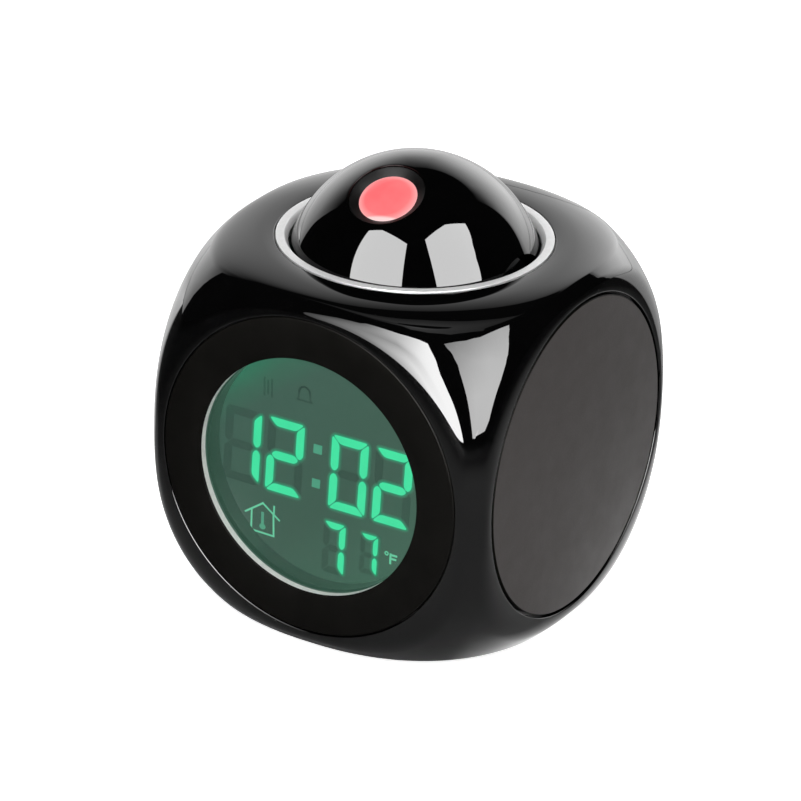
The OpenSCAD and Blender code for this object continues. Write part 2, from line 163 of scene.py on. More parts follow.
def plastic(name, colour, rough, spread=0.04, bump=0.0, scale=900.0, vary=0.12, metallic=0.0, coat=0.0,
            shine=0.5):
    """Moulded or metal surface: noise varies its colour and roughness and raises a fine grain."""
    nt, b = new_material(name)
    no = add_noise(nt, scale)
    lo = tuple(c * (1 - vary) for c in colour[:3]) + (1.0,)
    hi = tuple(min(1.0, c * (1 + vary)) for c in colour[:3]) + (1.0,)
    nt.links.new(ramp(nt, no.outputs["Fac"], [(0.35, lo), (0.65, hi)]), b.inputs["Base Color"])
    wide = add_noise(nt, scale / 12)
    smooth, dull = grey(max(0.0, rough - spread)), grey(rough + spread)
    nt.links.new(ramp(nt, wide.outputs["Fac"], [(0.3, smooth), (0.7, dull)]), b.inputs["Roughness"])
    if bump:
        bu = nt.nodes.new("ShaderNodeBump")
        bu.inputs["Strength"].default_value = bump
        bu.inputs["Distance"].default_value = 0.00005
        nt.links.new(no.outputs["Fac"], bu.inputs["Height"])
        nt.links.new(bu.outputs["Normal"], b.inputs["Normal"])
    b.inputs["Metallic"].default_value = metallic
    b.inputs["Specular IOR Level"].default_value = shine
    b.inputs["Coat Weight"].default_value = coat
    b.inputs["Coat Roughness"].default_value = 0.03


def glowing(name, colour, strength, base=(0.01, 0.02, 0.015, 1.0), rough=0.3):
    """Lit surface whose colour varies a little."""
    nt, b = new_material(name)
    b.inputs["Base Color"].default_value = base
    b.inputs["Roughness"].default_value = rough
    no = add_noise(nt, 160)
    lo = tuple(c * 0.94 for c in colour[:3]) + (1.0,)
    nt.links.new(ramp(nt, no.outputs["Fac"], [(0.3, lo), (0.7, colour)]), b.inputs["Emission Color"])
    b.inputs["Emission Strength"].default_value = strength


def clear(name, tint, rough=0.02):
    """Clear moulded pane: lets what is behind show and adds a little gloss, more at its edges."""
    nt, b = new_material(name)
    out = nt.nodes["Material Output"]
    tr = nt.nodes.new("ShaderNodeBsdfTransparent")
    tr.inputs["Color"].default_value = tint
    fr = nt.nodes.new("ShaderNodeFresnel")
    fr.inputs["IOR"].default_value = 1.35
    mix = nt.nodes.new("ShaderNodeMixShader")
    b.inputs["Base Color"].default_value = (0.02, 0.03, 0.025, 1.0)
    no = add_noise(nt, 300)
    nt.links.new(ramp(nt, no.outputs["Fac"], [(0.3, grey(rough)), (0.7, grey(rough + 0.02))]),
                 b.inputs["Roughness"])
    nt.links.new(fr.outputs["Fac"], mix.inputs["Fac"])
    nt.links.new(tr.outputs["BSDF"], mix.inputs[1])
    nt.links.new(b.outputs["BSDF"], mix.inputs[2])
    nt.links.new(mix.outputs["Shader"], out.inputs["Surface"])


plastic("case_black", (0.0012, 0.0012, 0.0013), 0.02, spread=0.012, scale=60, vary=0.2, shine=0.3)
plastic("bezel_black", (0.0027, 0.0025, 0.0021), 0.42, spread=0.05, bump=0.25, scale=2600,
        shine=0.04)
plastic("disc_grey", (0.052, 0.046, 0.0445), 0.5, spread=0.04, bump=0.4, scale=2600, vary=0.06,
        shine=0.25)
plastic("trim_grey", (0.78, 0.81, 0.77), 0.4, spread=0.05, bump=0.1, scale=1500, vary=0.05)
plastic("ring_silver", (0.74, 0.74, 0.74), 0.36, spread=0.04, scale=800, vary=0.03, metallic=0.25)
# The display's shroud is no lamp: its green glow is painted light, the display's light on its walls.
glowing("shroud_green", srgb(51, 80, 67), 0.85, base=(0.03, 0.06, 0.045, 1))
plastic("white_plastic", (0.72, 0.72, 0.69), 0.45, bump=0.2, scale=1800, vary=0.04)
glowing("light_guide", srgb(90, 220, 160), 0.6, base=(0.4, 0.6, 0.5, 1))
glowing("led_green", srgb(90, 255, 170), 1.0)
plastic("connector_pink", (0.5, 0.25, 0.2), 0.6, bump=0.3, scale=1500)
plastic("board_green", (0.012, 0.075, 0.03), 0.35, bump=0.5, scale=500, vary=0.3, coat=0.4)
plastic("chip_black", (0.01, 0.01, 0.01), 0.55, bump=0.3, scale=2000)
plastic("steel", (0.6, 0.6, 0.62), 0.28, spread=0.08, bump=0.15, scale=1400, vary=0.08,
        metallic=1.0)
plastic("key_grey", (0.09, 0.088, 0.085), 0.42, bump=0.3, scale=2400, vary=0.08)
plastic("switch_black", (0.012, 0.012, 0.012), 0.4, bump=0.3, scale=2200)
plastic("cone_grey", (0.02, 0.02, 0.018), 0.75, bump=0.8, scale=700, vary=0.2)
plastic("magnet_grey", (0.08, 0.08, 0.085), 0.5, bump=0.6, scale=900, vary=0.2)
plastic("inner_black", (0.012, 0.012, 0.012), 0.4, bump=0.3, scale=2000)
plastic("cell_jacket", (0.03, 0.035, 0.045), 0.22, scale=120, vary=0.1, coat=0.6)
plastic("foot_rubber", (0.012, 0.012, 0.012), 0.8, bump=0.7, scale=1800, vary=0.2)
plastic("acetal_white", (0.75, 0.74, 0.7), 0.4, bump=0.15, scale=1500, vary=0.03)
glowing("led_red", srgb(255, 60, 50), 0.8, base=(0.5, 0.02, 0.02, 1))
clear("clear_window", (1.0, 1.0, 1.0, 1.0))
clear("film_glass", (0.75, 0.8, 0.76, 1.0))
clear("condenser_clear", (0.92, 0.97, 1.0, 1.0))


def display_material():
    """Backlit glass: green-grey field, greener towards its upper left edge."""
    green_x, green_z, field_w, unevenness = -0.62, 0.78, 56 * MM, 0.12
    nt, b = new_material("display_glass")
    tc = nt.nodes.new("ShaderNodeTexCoord")
    sep = nt.nodes.new("ShaderNodeSeparateXYZ")
    nt.links.new(tc.outputs["Object"], sep.inputs["Vector"])
    up = maths(nt, "ADD", sep.outputs["Z"], -ZC * MM)
    aside = maths(nt, "MULTIPLY", sep.outputs["X"], green_x)
    along = maths(nt, "ADD", maths(nt, "MULTIPLY", up, green_z), aside)
    share = maths(nt, "MULTIPLY_ADD", along, 1 / field_w, 0.5)
    drift = maths(nt, "SUBTRACT", add_noise(nt, 70, 2.0).outputs["Fac"], 0.5)
    field = ramp(nt, maths(nt, "ADD", share, maths(nt, "MULTIPLY", drift, unevenness)),
                 [(0.0, srgb(66, 103, 86)), (0.35, srgb(60, 89, 76)), (0.82, srgb(62, 92, 80)),
                  (0.9, srgb(59, 102, 84)), (0.97, srgb(48, 120, 92))])
    nt.links.new(field, b.inputs["Emission Color"])
    b.inputs["Emission Strength"].default_value = 1.0
    b.inputs["Base Color"].default_value = (0.01, 0.02, 0.015, 1)
    b.inputs["Roughness"].default_value = 0.35
    b.inputs["Specular IOR Level"].default_value = 0.2


def lens_material():
    """Pink-red lens: lit from below, glossy, with painted highlights that make it paler at its rim and
    whitish in a crescent at its front.
    """
    nt, b = new_material("lens_red")
    no = add_noise(nt, 130)
    pink = ramp(nt, no.outputs["Fac"], [(0.3, srgb(254, 120, 124)), (0.7, srgb(255, 140, 142))])
    middle = (0, -sin(LEAN) * LENS_MID_Z * MM, (BALL_Z + cos(LEAN) * LENS_MID_Z) * MM)
    to_cm = 1 / (10 * MM)
    tc = nt.nodes.new("ShaderNodeTexCoord")
    off = vector_maths(nt, "SUBTRACT", tc.outputs["Object"], middle)
    ahead = (0.25 * to_cm, -cos(LEAN) * to_cm, -sin(LEAN) * to_cm)
    front = vector_maths(nt, "DOT_PRODUCT", off, ahead, "Value")
    across = vector_maths(nt, "CROSS_PRODUCT", off, (0, -sin(LEAN) * to_cm, cos(LEAN) * to_cm))
    radius = vector_maths(nt, "LENGTH", across, result="Value")
    # Painted highlights in the glow: a whitish crescent at the lens's front and a paler rim.
    painted_crescent_highlight = ramp(nt, front, [(0.5, grey(0)), (0.56, grey(1))])
    rim = ramp(nt, radius, [(0.47, grey(0)), (0.6, grey(0.4))])
    mix = nt.nodes.new("ShaderNodeMix")
    mix.data_type = "RGBA"
    nt.links.new(maths(nt, "MAXIMUM", painted_crescent_highlight, rim), mix.inputs[0])
    nt.links.new(pink, mix.inputs[6])
    mix.inputs[7].default_value = srgb(255, 232, 230)
    nt.links.new(mix.outputs[2], b.inputs["Emission Color"])
    b.inputs["Emission Strength"].default_value = 0.85
    b.inputs["Base Color"].default_value = srgb(150, 40, 44)
    b.inputs["Roughness"].default_value = 0.12


display_material()
lens_material()


# ---- mesh helpers ----------------------------------------------------------------
def link(name, bm, material, body="case", replaces=(), sharp=radians(32)):
    """Mesh object in the row frame from millimetre geometry."""
    bmesh.ops.recalc_face_normals(bm, faces=bm.faces[:])
    for f in bm.faces:
        f.smooth = True
    for e in bm.edges:
        if len(e.link_faces) == 2 and e.calc_face_angle(0) > sharp:
            e.smooth = False
    bmesh.ops.scale(bm, vec=(MM, MM, MM), verts=bm.verts[:])
    me = bpy.data.meshes.new(name)
    bm.to_mesh(me)
    bm.free()
    o = bpy.data.objects.new(name, me)
    bpy.context.scene.collection.objects.link(o)
    me.materials.append(MAT[material])
    if body:
        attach(o, body)
    if replaces:
        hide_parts(*replaces)
    return o


def lathe(profile, n=192, closed=True):
    """Revolves (radius, height) points round +Z."""
    bm = bmesh.new()
    turn = [(cos(2 * pi * k / n), sin(2 * pi * k / n)) for k in range(n)]
    rings = []
    for r, z in profile:
        if r < 1e-6:
            rings.append([bm.verts.new((0, 0, z))])
        else:
            rings.append([bm.verts.new((r * c, r * s, z)) for c, s in turn])
    pairs = list(zip(rings, rings[1:])) + ([(rings[-1], rings[0])] if closed else [])
    for a, b in pairs:
        if len(a) == 1 and len(b) == 1:
            continue
        for k in range(n):
            q = [a[k % len(a)], a[(k + 1) % len(a)], b[(k + 1) % len(b)], b[k % len(b)]]
            q = [v for i, v in enumerate(q) if v not in q[:i]]
            if len(q) > 2:
                bm.faces.new(q)
    return bm


def arc(cx, cy, r, a0, a1, n):
    """Points of a round stretch from angle a0 to a1, in degrees."""
    angles = [radians(a0 + (a1 - a0) * i / n) for i in range(n + 1)]
    return [(cx + r * cos(a), cy + r * sin(a)) for a in angles]


# From a lathe's +Z to each face.
FRONT = Matrix.Translation((0, 0, ZC)) @ Matrix.Rotation(radians(90), 4, "X")
RIGHT = Matrix.Translation((0, 0, ZC)) @ Matrix.Rotation(radians(90), 4, "Y")
LEFT = Matrix.Translation((0, 0, ZC)) @ Matrix.Rotation(radians(-90), 4, "Y")


def placed(bm, matrix):
    """The same geometry, moved."""
    bm.transform(matrix)
    return bm


def box_bm(lo, hi, bm=None):
    """Box between two corners, added to bm where it is given."""
    bm = bm or bmesh.new()
    middle = Matrix.Translation([(a + b) / 2 for a, b in zip(lo, hi)])
    size = Matrix.Diagonal([b - a for a, b in zip(lo, hi)] + [1])
    bmesh.ops.create_cube(bm, size=1, matrix=middle @ size)
    return bm


def dressed(node, bevel):
    """Copy of a CAD node with its edges rounded, which stands for the node."""
    src = frame["nodes"][node]
    o = src.copy()
    o.data = src.data.copy()
    o.name = node + "_moulded"
    for key in list(o.keys()):
        if key.startswith("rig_"):
            del o[key]
    bpy.context.scene.collection.objects.link(o)
    o.hide_render = False
    bm = bmesh.new()
    bm.from_mesh(o.data)
    bmesh.ops.remove_doubles(bm, verts=bm.verts[:], dist=1e-6)
    bmesh.ops.dissolve_limit(bm, angle_limit=radians(0.5), verts=bm.verts[:], edges=bm.edges[:])
    for f in bm.faces:
        f.smooth = True
    for e in bm.edges:
        e.smooth = not (len(e.link_faces) == 2 and e.calc_face_angle(0) > radians(30))
    bm.to_mesh(o.data)
    bm.free()
    mod = o.modifiers.new("round", "BEVEL")
    mod.width = bevel * MM
    mod.segments = 3
    mod.limit_method = "ANGLE"
    mod.angle_limit = radians(40)
    mod.harden_normals = True
    mod.use_clamp_overlap = True
    o.data.materials.clear()
    o.data.materials.append(MAT[SLOT[node]])
    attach(o, BODY[node])
    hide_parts(node)
    return o


RECORD = frame["record"]
SLOT = {s["node"]: s["material_slot"] for s in RECORD["subparts"]}
BODY = {n: body for body, nodes in RECORD["behaviour"]["bodies"].items() for n in nodes}

# The solids' own pieces that stay in view take the materials of their slots.
for node, obj in frame["nodes"].items():
    obj.data.materials.clear()
    obj.data.materials.append(MAT[SLOT[node]])


# ---- case --------------------------------------------------------------------------
def soft_radius(x):
    """Scales a direction onto the soft cube |x|^P + |y|^P + |z|^P = R^P."""
    return x * (SOFT_R / (np.abs(x) ** SOFT_P).sum() ** (1 / SOFT_P))


def soft_normal(x):
    g = np.sign(x) * np.abs(x) ** (SOFT_P - 1)
    return g / np.linalg.norm(g)


def case_rings(axis, u, v, recess_r, depth, hole_r):
    """Rings of points of one face from its recess or hole out to its border, then the same inside."""
    up_side = bool(axis[2])
    h = HZ if up_side else HALF
    lift = np.array([0, 0, 0 if up_side else ZC - ZM])
    crease = (SOFT_R ** SOFT_P - h ** SOFT_P) ** (1 / SOFT_P)
    angles = [2 * pi * k / CASE_N for k in range(CASE_N)]
    mid = np.array([0, 0, ZM])

    def flat_ring(r, below):
        """Circle in the face's plane or below it; a single point where r is 0."""
        centre = mid + lift + axis * (h - below)
        return [centre + (u * cos(t) + v * sin(t)) * r for t in (angles if r else angles[:1])]

    def crease_at(t):
        """Direction across the face, and how far out the soft cube meets the face's plane."""
        side = u * cos(t) + v * sin(t)
        return side, crease / (np.abs(side) ** SOFT_P).sum() ** (1 / SOFT_P)

    def past_crease(t, run):
        """Point on the soft cube, run further out than where the face's plane meets it."""
        side, c = crease_at(t)
        return soft_radius(axis * h + side * (c + run))

    def roll_end(t):
        return ROLL_MIN + ROLL_MORE * sin(2 * t) ** 2

    def roll_ring(w):
        """Curve that leaves the flat and meets the soft cube a little past the crease."""
        out = []
        for t in angles:
            flat_end = axis * h + (u * cos(t) + v * sin(t)) * flat_r
            meet = past_crease(t, roll_end(t))
            slope = past_crease(t, roll_end(t) - 0.01) - meet
            elbow = meet + slope * ((h - meet @ axis) / (slope @ axis))
            leave = flat_end * (1 - start_pull) + elbow * start_pull
            arrive = meet / 3 + elbow * 2 / 3
            out.append(mid + flat_end * (1 - w) ** 3 + leave * 3 * w * (1 - w) ** 2
                       + arrive * 3 * w * w * (1 - w) + meet * w ** 3)
        return out

    def outer_ring(f, inset, first=roll_end):
        """Points a share f of the way from first past the crease to the face's border."""
        out = []
        for t in angles:
            end = soft_radius(axis + crease_at(t)[0] / max(abs(cos(t)), abs(sin(t))))
            q = soft_radius(past_crease(t, first(t)) * (1 - f) + end * f)
            out.append(mid + q - soft_normal(q) * inset)
        return out

    flat_r, start_pull = (TOP_FLAT_R, 0.4) if axis[2] > 0 else (FLAT_R, 0.667)
    outside = [flat_ring(hole_r, WALL)] if hole_r else []
    outside += [flat_ring(hole_r, depth), flat_ring(recess_r, depth), flat_ring(recess_r, LIP)]
    outside += [flat_ring(recess_r + LIP * (1 - cos(a)), LIP * (1 - sin(a)))
                for a in (pi / 12 * i for i in range(1, 7))]
    outside += [roll_ring(i / 12) for i in range(13)]
    outside += [outer_ring(i / 12, 0) for i in range(1, 13)]
    inside_ = [flat_ring(hole_r, WALL)] + [outer_ring(i / 10, WALL, lambda t: 0.0) for i in range(11)]
    return outside, inside_


# Of each face: outward axis, two axes across it, radius and depth of its recess, radius of its hole.
FACES = (((0, -1, 0), (1, 0, 0), (0, 0, 1), BEZEL_R + BEZEL_GAP, BEZEL_T, BEZEL_HOLE_R),
         ((0, 1, 0), (-1, 0, 0), (0, 0, 1), DISC_R + GROOVE, DISC_T, 0),
         ((1, 0, 0), (0, 1, 0), (0, 0, 1), DISC_R + GROOVE, DISC_T, 0),
         ((-1, 0, 0), (0, -1, 0), (0, 0, 1), DISC_R + GROOVE, DISC_T, 0),
         ((0, 0, 1), (1, 0, 0), (0, 1, 0), RING_R + RING_GAP, TOP_Z - RING_Z + RING_T, RING_HOLE_R),
         ((0, 0, -1), (1, 0, 0), (0, -1, 0), DISC_R + GROOVE, DISC_T, 0))


def case_bm():
    """Closed shell with a round recess in each face, holes in front and on top, all with softened lips."""
    bm = bmesh.new()
    for axis, u, v, recess_r, depth, hole_r in FACES:
        vectors = [np.array(w, float) for w in (axis, u, v)]
        for group in case_rings(*vectors, recess_r, depth, hole_r):
            rings = [[bm.verts.new(Vector(q)) for q in ring] for ring in group]
            for a, b in zip(rings, rings[1:]):
                for k in range(CASE_N):
                    j = (k + 1) % CASE_N
                    if len(a) == 1:
                        bm.faces.new((a[0], b[j], b[k]))
                    else:
                        bm.faces.new((a[k], a[j], b[j], b[k]))
    bmesh.ops.remove_doubles(bm, verts=bm.verts[:], dist=1e-3)
    bmesh.ops.recalc_face_normals(bm, faces=bm.faces[:])
    return bm


def sliced(bm, point, normal, **clear_sides):
    """Cuts geometry at a plane and returns the edges of the cut."""
    whole = bm.verts[:] + bm.edges[:] + bm.faces[:]
    out = bmesh.ops.bisect_plane(bm, geom=whole, dist=1e-5, plane_co=point, plane_no=normal, **clear_sides)
    return [g for g in out["geom_cut"] if isinstance(g, bmesh.types.BMEdge) and g.is_valid]


def cut(bm, y, keep_front):
    """Keeps one side of a cross plane and closes the shell's edge there."""
    edges = sliced(bm, (0, y, 0), (0, 1, 0), clear_outer=keep_front, clear_inner=not keep_front)
    bmesh.ops.bridge_loops(bm, edges=[e for e in edges if len(e.link_faces) == 1])
    bmesh.ops.recalc_face_normals(bm, faces=bm.faces[:])


def carve(obj, tool):
    """Cuts a closed mesh of millimetre geometry out of an object."""
    bmesh.ops.scale(tool, vec=(MM, MM, MM), verts=tool.verts[:])
    me = bpy.data.meshes.new("tool")
    tool.to_mesh(me)
    tool.free()
    cutter = bpy.data.objects.new("tool", me)
    bpy.context.scene.collection.objects.link(cutter)
    mod = obj.modifiers.new("cut", "BOOLEAN")
    mod.operation = "DIFFERENCE"
    mod.solver = "EXACT"
    mod.object = cutter
    bpy.context.view_layer.update()
    dg = bpy.context.evaluated_depsgraph_get()
    done = bpy.data.meshes.new_from_object(obj.evaluated_get(dg))
    obj.modifiers.clear()
    old = obj.data
    obj.data = done
    bpy.data.meshes.remove(old)
    bpy.data.objects.remove(cutter)
    bpy.data.meshes.remove(me)


def rod(bm, x, z, y0, y1, r, n=48):
    """Adds a cylinder along Y."""
    turn = Matrix.Translation((x, (y0 + y1) / 2, z)) @ Matrix.Rotation(radians(90), 4, "X")
    bmesh.ops.create_cone(bm, cap_ends=True, segments=n, radius1=r, radius2=r, depth=y1 - y0, matrix=turn)


def rear_holes():
    """Openings of the rear for its screws, keys, slide switch and speaker."""
    screw_y, hole_y, past_y = 35.4, 34.6, HALF + 2
    bm = bmesh.new()
    for sx in (-1, 1):
        for sz in (-1, 1):
            rod(bm, sx * SCREW_AT, ZC + sz * SCREW_AT, screw_y, past_y, SCREW_HOLE_R)
    for i in (-1.5, -0.5, 0.5, 1.5):
        rod(bm, i * KEY_PITCH, KEY_Z, hole_y, past_y, KEY_HOLE_R)
    box_bm((-SWITCH_X, hole_y, SWITCH_Z - SWITCH_H), (SWITCH_X, past_y, SWITCH_Z + SWITCH_H), bm)
    for k in range(GRILLE_RINGS + 1):
        count = max(1, 6 * k)
        for a in (2 * pi * i / count for i in range(count)):
            x, z = GRILLE_PITCH * k * cos(a), GRILLE_PITCH * k * sin(a)
            rod(bm, x, SPEAKER_Z + z, hole_y, past_y, GRILLE_HOLE_R, 16)
    return bm


front_bm = case_bm()
rear_bm = front_bm.copy()
cut(front_bm, SPLIT_Y, True)
case_front = link("case_front", front_bm, "case_black", replaces=("main_shell",))
carve(case_front, box_bm((-BAY_X, -BAY_Y, -1), (BAY_X, BAY_Y, 5)))
cut(rear_bm, SPLIT_Y + SPLIT_GAP, False)
case_rear = link("case_rear", rear_bm, "case_black", replaces=("rear_cover",))
carve(case_rear, rear_holes())


# ---- front ring, window liner, display ----------------------------------------------
def front_profile():
    """Front ring as (radius, distance forward): softened edges, then its back steps."""
    back_y, neck_y, neck_r, bore_y = HALF - BEZEL_T, 36.2, BEZEL_HOLE_R - 0.1, 39.6
    return ([(WINDOW_R, bore_y)] + arc(WINDOW_R + 0.12, HALF - 0.12, 0.12, 180, 90, 4)
            + arc(BEZEL_R - 0.35, HALF - 0.4, 0.35, 90, 0, 6)
            + [(BEZEL_R, back_y), (neck_r, back_y), (neck_r, neck_y)]
            + [(LINER_R + 0.05, neck_y), (LINER_R + 0.05, bore_y)])


link("front_ring", placed(lathe(front_profile()), FRONT), "bezel_black", replaces=("front_bezel",))
# Back of the liner, where the painted glow of the display's light on its bore stops, and its front.
LINER_Y = (37.6, 38.15, 39.58)
trim_profile = [(WINDOW_R + 0.02, y) for y in LINER_Y] + [(LINER_R, LINER_Y[2]), (LINER_R, LINER_Y[0])]
liner = link("window_liner", placed(lathe(trim_profile), FRONT), "trim_grey", replaces=("window_trim",))
# The bore's back part takes the shroud's emission: painted glow of the display's light.
liner.data.materials.append(MAT["shroud_green"])
for face in liner.data.polygons:
    if face.center.y > -LINER_Y[1] * MM:
        face.material_index = 1
# The shroud's walls take the painted glow of the display's light.
SHROUD_Y0, SHROUD_Y1 = 33.02, 36.38
shroud_profile = [(WINDOW_R, SHROUD_Y0), (WINDOW_R, SHROUD_Y1), (LINER_R, SHROUD_Y1), (LINER_R, SHROUD_Y0)]
link("display_shroud", placed(lathe(shroud_profile), FRONT), "shroud_green", replaces=("lcd_shroud",))

glowing("seg_on", srgb(62, 233, 166), 1.0)
glowing("seg_halo", srgb(40, 138, 100), 1.0)
glowing("seg_haze", srgb(54, 106, 84), 1.0)
glowing("seg_dim", srgb(72, 158, 126), 1.0)
clear("seg_ghost", (0.965, 0.955, 0.965, 1.0))
glowing("seg_icon", srgb(104, 208, 164), 1.0)

STEPS = 20.0               # grid steps of the display's drawing per millimetre
ORIGIN = (-26.0, 65.15)    # x and z of the drawing's upper left corner, in millimetres
SIGHT_R = 28.1             # nothing is drawn past this radius


def to_glass(p, lift):
    """Place of a point of the drawing, lift in front of the glass."""
    return Vector((ORIGIN[0] + p[0] / STEPS, GLASS_Y - lift, ORIGIN[1] - p[1] / STEPS))


def draw(name, polygons, material, lift, thick=0.03):
    """Flat printed shapes standing just off the glass."""
    bm = bmesh.new()
    for poly in polygons:
        top = [bm.verts.new(to_glass(p, lift)) for p in poly]
        low = [bm.verts.new(to_glass(p, lift - thick)) for p in poly]
        bm.faces.new(top)
        bm.faces.new(low[::-1])
        for i in range(len(poly)):
            j = (i + 1) % len(poly)
            bm.faces.new((top[j], top[i], low[i], low[j]))
    return link(name, bm, material)


def grown(poly, d):
    """Convex polygon with every side moved outwards by d."""
    area = sum(a[0] * b[1] - b[0] * a[1] for a, b in zip(poly, poly[1:] + poly[:1]))
    points = [Vector(p) for p in poly]
    out = []
    for i, p in enumerate(points):
        before = (p - points[i - 1]).normalized()
        after = (points[(i + 1) % len(points)] - p).normalized()
        n1, n2 = (Vector((e.y, -e.x)) * (1 if area > 0 else -1) for e in (before, after))
        out.append(tuple(p + (n1 + n2) * (d / max(0.35, 1 + n1 @ n2))))
    return out


def digit(on, xl, xr, yt, yb, t, ym=None, slant=0.05, g=2.0):
    """Polygons of the segments named in on: t is their thickness, g half the gap between them."""
    ym = ym or (yt + yb) / 2
    c, h = 0.3 * t, t / 2
    q = c / 2
    segs = {
        "a": [(xl + c + g, yt), (xr - c - g, yt), (xr - q - g, yt + q), (xr - t - g, yt + t),
              (xl + t + g, yt + t), (xl + q + g, yt + q)],
        "d": [(xl + c + g, yb), (xl + q + g, yb - q), (xl + t + g, yb - t), (xr - t - g, yb - t),
              (xr - q - g, yb - q), (xr - c - g, yb)],
        "g": [(xl + h + g, ym), (xl + t + g, ym - h), (xr - t - g, ym - h), (xr - h - g, ym),
              (xr - t - g, ym + h), (xl + t + g, ym + h)],
        "f": [(xl, yt + c + g), (xl + q, yt + q + g), (xl + t, yt + t + g), (xl + t, ym - h - g),
              (xl + h, ym - g), (xl, ym - h - g)],
        "b": [(xr, yt + c + g), (xr, ym - h - g), (xr - h, ym - g), (xr - t, ym - h - g),
              (xr - t, yt + t + g), (xr - q, yt + q + g)],
        "e": [(xl, yb - c - g), (xl, ym + h + g), (xl + h, ym + g), (xl + t, ym + h + g),
              (xl + t, yb - t - g), (xl + q, yb - q - g)],
        "c": [(xr, yb - c - g), (xr - q, yb - q - g), (xr - t, yb - t - g), (xr - t, ym + h + g),
              (xr - h, ym + g), (xr, ym + h + g)],
    }
    return [[(x + slant * (ym - y), y) for x, y in segs[k]] for k in on]


def inside(polys):
    """Polygons with the points that lie past the round window drawn in to its edge."""
    cx, cy, r = -ORIGIN[0] * STEPS, (ORIGIN[1] - ZC) * STEPS, SIGHT_R * STEPS
    keep = []
    for poly in polys:
        shares = [min(1.0, r / (hypot(x - cx, y - cy) or r)) for x, y in poly]
        keep.append([(cx + (x - cx) * f, cy + (y - cy) * f) for (x, y), f in zip(poly, shares)])
    return keep


def rounded(poly, r):
    """Polygon with each corner turned into a short curve."""
    out = []
    for i, p in enumerate(poly):
        p = Vector(p)
        for q in (Vector(poly[i - 1]), Vector(poly[(i + 1) % len(poly)])):
            out.append(p + (q - p) * min(0.45, r / (q - p).length))
        out.insert(-1, p * 0.5 + (out[-2] + out[-1]) * 0.25)
    return [tuple(p) for p in out]


# Left and right of each big digit, then left, right, top and bottom of each small one, and the
# rest of their measures, all in steps of the drawing.
HOUR_1, HOUR_2, MINUTE_1, MINUTE_2 = (32, 206), (238, 412), (543, 718), (752, 928)
DEGREE_1, DEGREE_2 = (514, 619, 765, 998), (693, 775, 772, 952)
big = dict(yt=368, yb=703, t=37)
one = dict(yt=370, yb=692, t=36, ym=535)
tens = dict(t=29, ym=884, slant=0.045, g=2.5)
units = dict(t=22, ym=867, slant=0.045, g=2.5)
lit = (digit("bc", *HOUR_1, **one) + digit("abged", *HOUR_2, **big)
       + digit("abcdef", *MINUTE_1, **big) + digit("abged", *MINUTE_2, **big)
       + digit("abc", *DEGREE_1, **tens) + digit("abc", *DEGREE_2, **units))
ghost = (digit("adefg", *HOUR_1, **big) + digit("cf", *HOUR_2, **big)
         + digit("g", *MINUTE_1, **big) + digit("cf", *MINUTE_2, **big)
         + digit("defg", *DEGREE_1, **tens) + digit("defg", *DEGREE_2, **units))


def strokes(lines, w):
    """Rectangles of width w along lines, half a width past each end."""
    out = []
    for (x0, y0), (x1, y1) in lines:
        length = hypot(x1 - x0, y1 - y0)
        dx, dy = (x1 - x0) / length * w / 2, (y1 - y0) / length * w / 2
        out.append([(x0 - dx + dy, y0 - dy - dx), (x1 + dx + dy, y1 + dy - dx),
                    (x1 + dx - dy, y1 + dy + dx), (x0 - dx - dy, y0 - dy + dx)])
    return out


def ring_strokes(cx, cy, r, w, n=20, a0=0.0, a1=360.0):
    """Strokes along a circle or a part of one."""
    points = arc(cx, cy, r, a0, a1, n)
    return strokes(list(zip(points, points[1:])), w)


house = strokes([((138, 832), (222, 773)), ((222, 773), (302, 830)), ((168, 816), (166, 908)),
                 ((166, 908), (276, 910)), ((276, 910), (274, 812)), ((277, 774), (276, 806))], 8)
bulb = [(221 + 15 * cos(2 * pi * i / 20), 880 + 13 * sin(2 * pi * i / 20)) for i in range(20)]
thermo = strokes([((221, 820), (221, 868))], 13) + [bulb]
unit = (strokes([((839, 832), (838, 872)), ((839, 834), (866, 834)), ((839, 851), (862, 851))], 9)
        + ring_strokes(820, 832, 7, 5))
colon = [[(463, 436), (504, 436), (502, 477), (461, 477)], [(458, 592), (497, 592), (495, 632), (456, 632)]]
bell = (ring_strokes(415, 222, 26, 9, 14, 180, 360)
        + strokes([((389, 222), (386, 255)), ((441, 222), (444, 255)), ((380, 258), (450, 258))], 8))
wave = strokes([((222, 205), (222, 280)), ((240, 215), (240, 270)), ((258, 205), (258, 280))], 8)
soft = [rounded(p, 13) for p in lit]
# How far each film stands off the glass.
GHOST_LIFT, HAZE_LIFT, HALO_LIFT, FRONT_LIFT = 0.04, 0.06, 0.08, 0.11
draw("display_ghosts", inside(ghost + bell + wave), "seg_ghost", GHOST_LIFT)
draw("display_haze", inside([grown(p, 13) for p in soft]), "seg_haze", HAZE_LIFT)
draw("display_halo", inside([grown(p, 7) for p in soft]), "seg_halo", HALO_LIFT)
draw("display_digits", inside(soft), "seg_on", FRONT_LIFT)
draw("display_colon", colon, "seg_dim", FRONT_LIFT)
draw("display_icons", house + unit, "seg_icon", FRONT_LIFT)
draw("display_icon_fill", thermo, "seg_dim", FRONT_LIFT)

